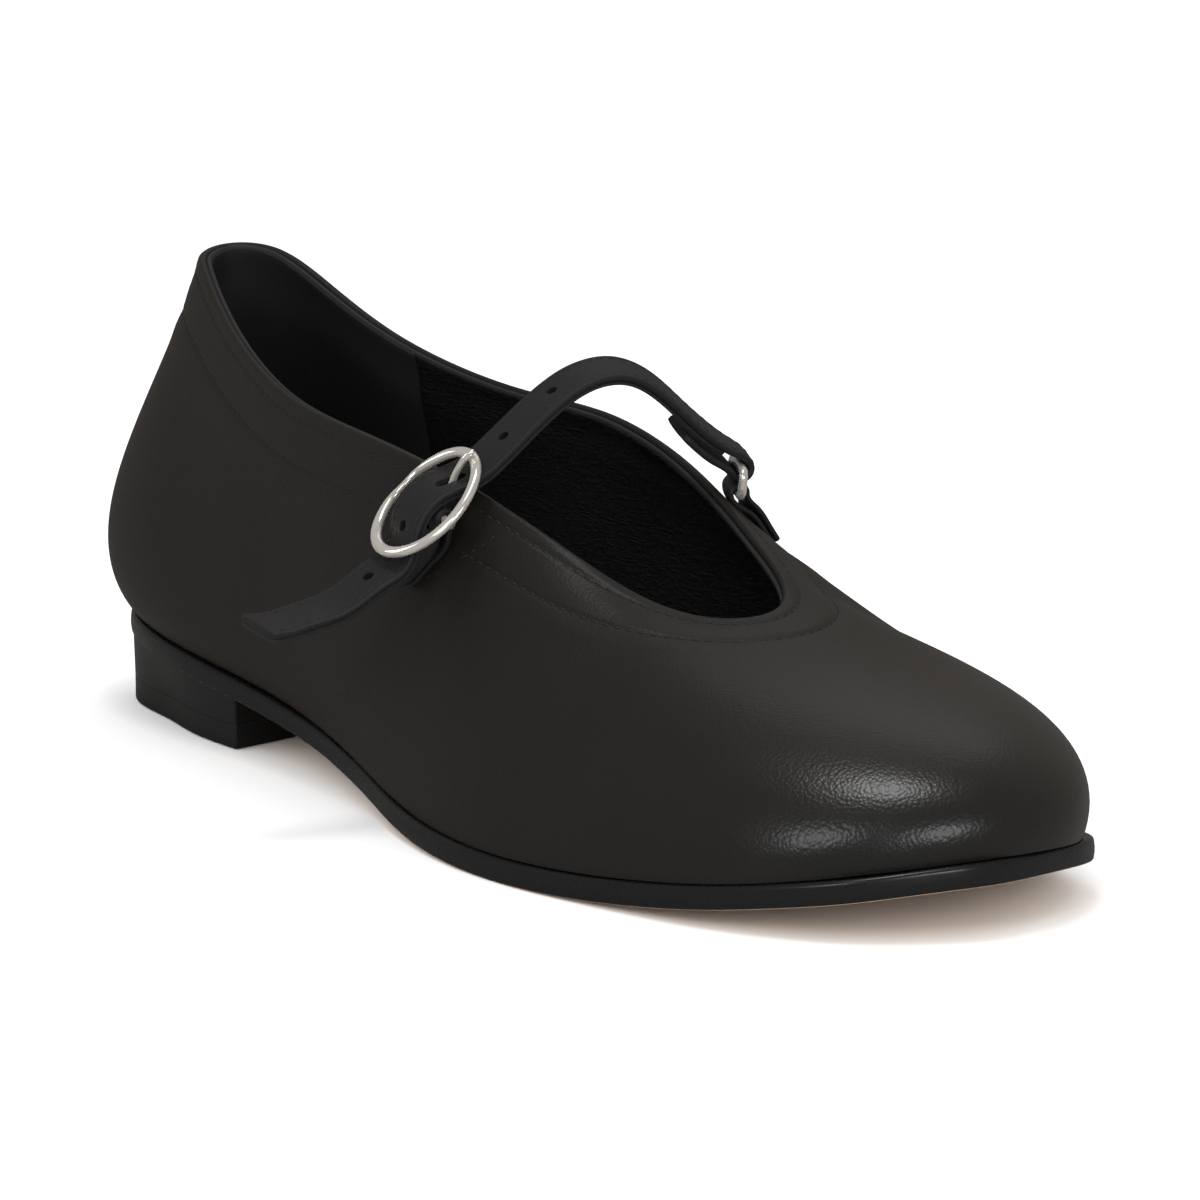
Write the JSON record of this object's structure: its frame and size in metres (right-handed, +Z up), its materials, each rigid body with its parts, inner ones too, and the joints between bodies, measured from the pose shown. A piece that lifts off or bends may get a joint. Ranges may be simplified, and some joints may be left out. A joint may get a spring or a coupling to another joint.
{
  "type": "low-heeled strap shoe",
  "caption": "Round-toed low-heeled shoe for the right foot, one-piece upper, buckled instep strap held by a link on the inner side.",
  "frame": {"origin": "centre of the heel's ground face, on the floor", "axes": "+X towards the toe, +Y towards the inner (medial) side of the foot, +Z up"},
  "size_m": [0.2498, 0.1103, 0.0881],
  "materials": {
    "upper_leather": "smooth semi-gloss black",
    "binding_leather": "satin black",
    "heel_lining": "matt dark grey",
    "vamp_lining": "matt black, fine creases",
    "stiffener": "plain",
    "interlining": "woven",
    "insole_board": "fibre board",
    "foam": "foam sheet",
    "sock": "matt black",
    "cork": "granulated cork",
    "shank_steel": "plain",
    "sole_leather": "burnished black edge, tan under face",
    "heel_stack": "polished black",
    "lift_rubber": "matt black",
    "fastener_steel": "plain",
    "strap_leather": "satin black",
    "strap_back": "matt black",
    "polished_metal": "polished"
  },
  "bodies": {
    "shoe": {"upper_leather": "upper_leather", "quarter_lining": "heel_lining", "vamp_lining": "vamp_lining", "heel_counter": "stiffener", "toe_puff": "stiffener", "interlining_lateral": "interlining", "interlining_medial": "interlining", "topline_binding": "binding_leather", "outsole": "sole_leather", "insole_board": "insole_board", "sock_lining": "sock", "heel_foam_pad": "foam", "bottom_filler": "cork", "shank": "shank_steel", "heel_block": "heel_stack", "top_lift": "lift_rubber", "heel_nails": "fastener_steel", "lift_pins": "fastener_steel", "buckle_chape": "strap_leather", "medial_tab": "strap_leather"},
    "buckle": {"buckle_frame": "polished_metal"},
    "prong": {"buckle_prong": "polished_metal"},
    "link": {"link_ring": "polished_metal"},
    "strap": {"strap_leather": "strap_leather", "strap_lining": "strap_back"}
  },
  "joints": [
    {"name": "buckle_tilt", "type": "hinge", "parent": "shoe", "child": "buckle", "pos_m": [0.10315, -0.03066, 0.05522], "axis": [0.9662, -0.1256, -0.225], "range_deg": [-15, 20]},
    {"name": "prong_lift", "type": "hinge", "parent": "buckle", "child": "prong", "pos_m": [0.10315, -0.03066, 0.05522], "axis": [0.9662, -0.1256, -0.225], "range_deg": [0, 110]},
    {"name": "link_swing", "type": "hinge", "parent": "shoe", "child": "link", "pos_m": [0.11078, 0.028, 0.0543], "axis": [-0.8856, 0.4592, 0.0698], "range_deg": [0, 75]},
    {"name": "strap_swing", "type": "hinge", "parent": "link", "child": "strap", "pos_m": [0.11123, 0.02818, 0.05889], "axis": [-0.8856, 0.4592, 0.0698], "range_deg": [0, 90], "deforming": ["strap_leather", "strap_lining"]}
  ]
}
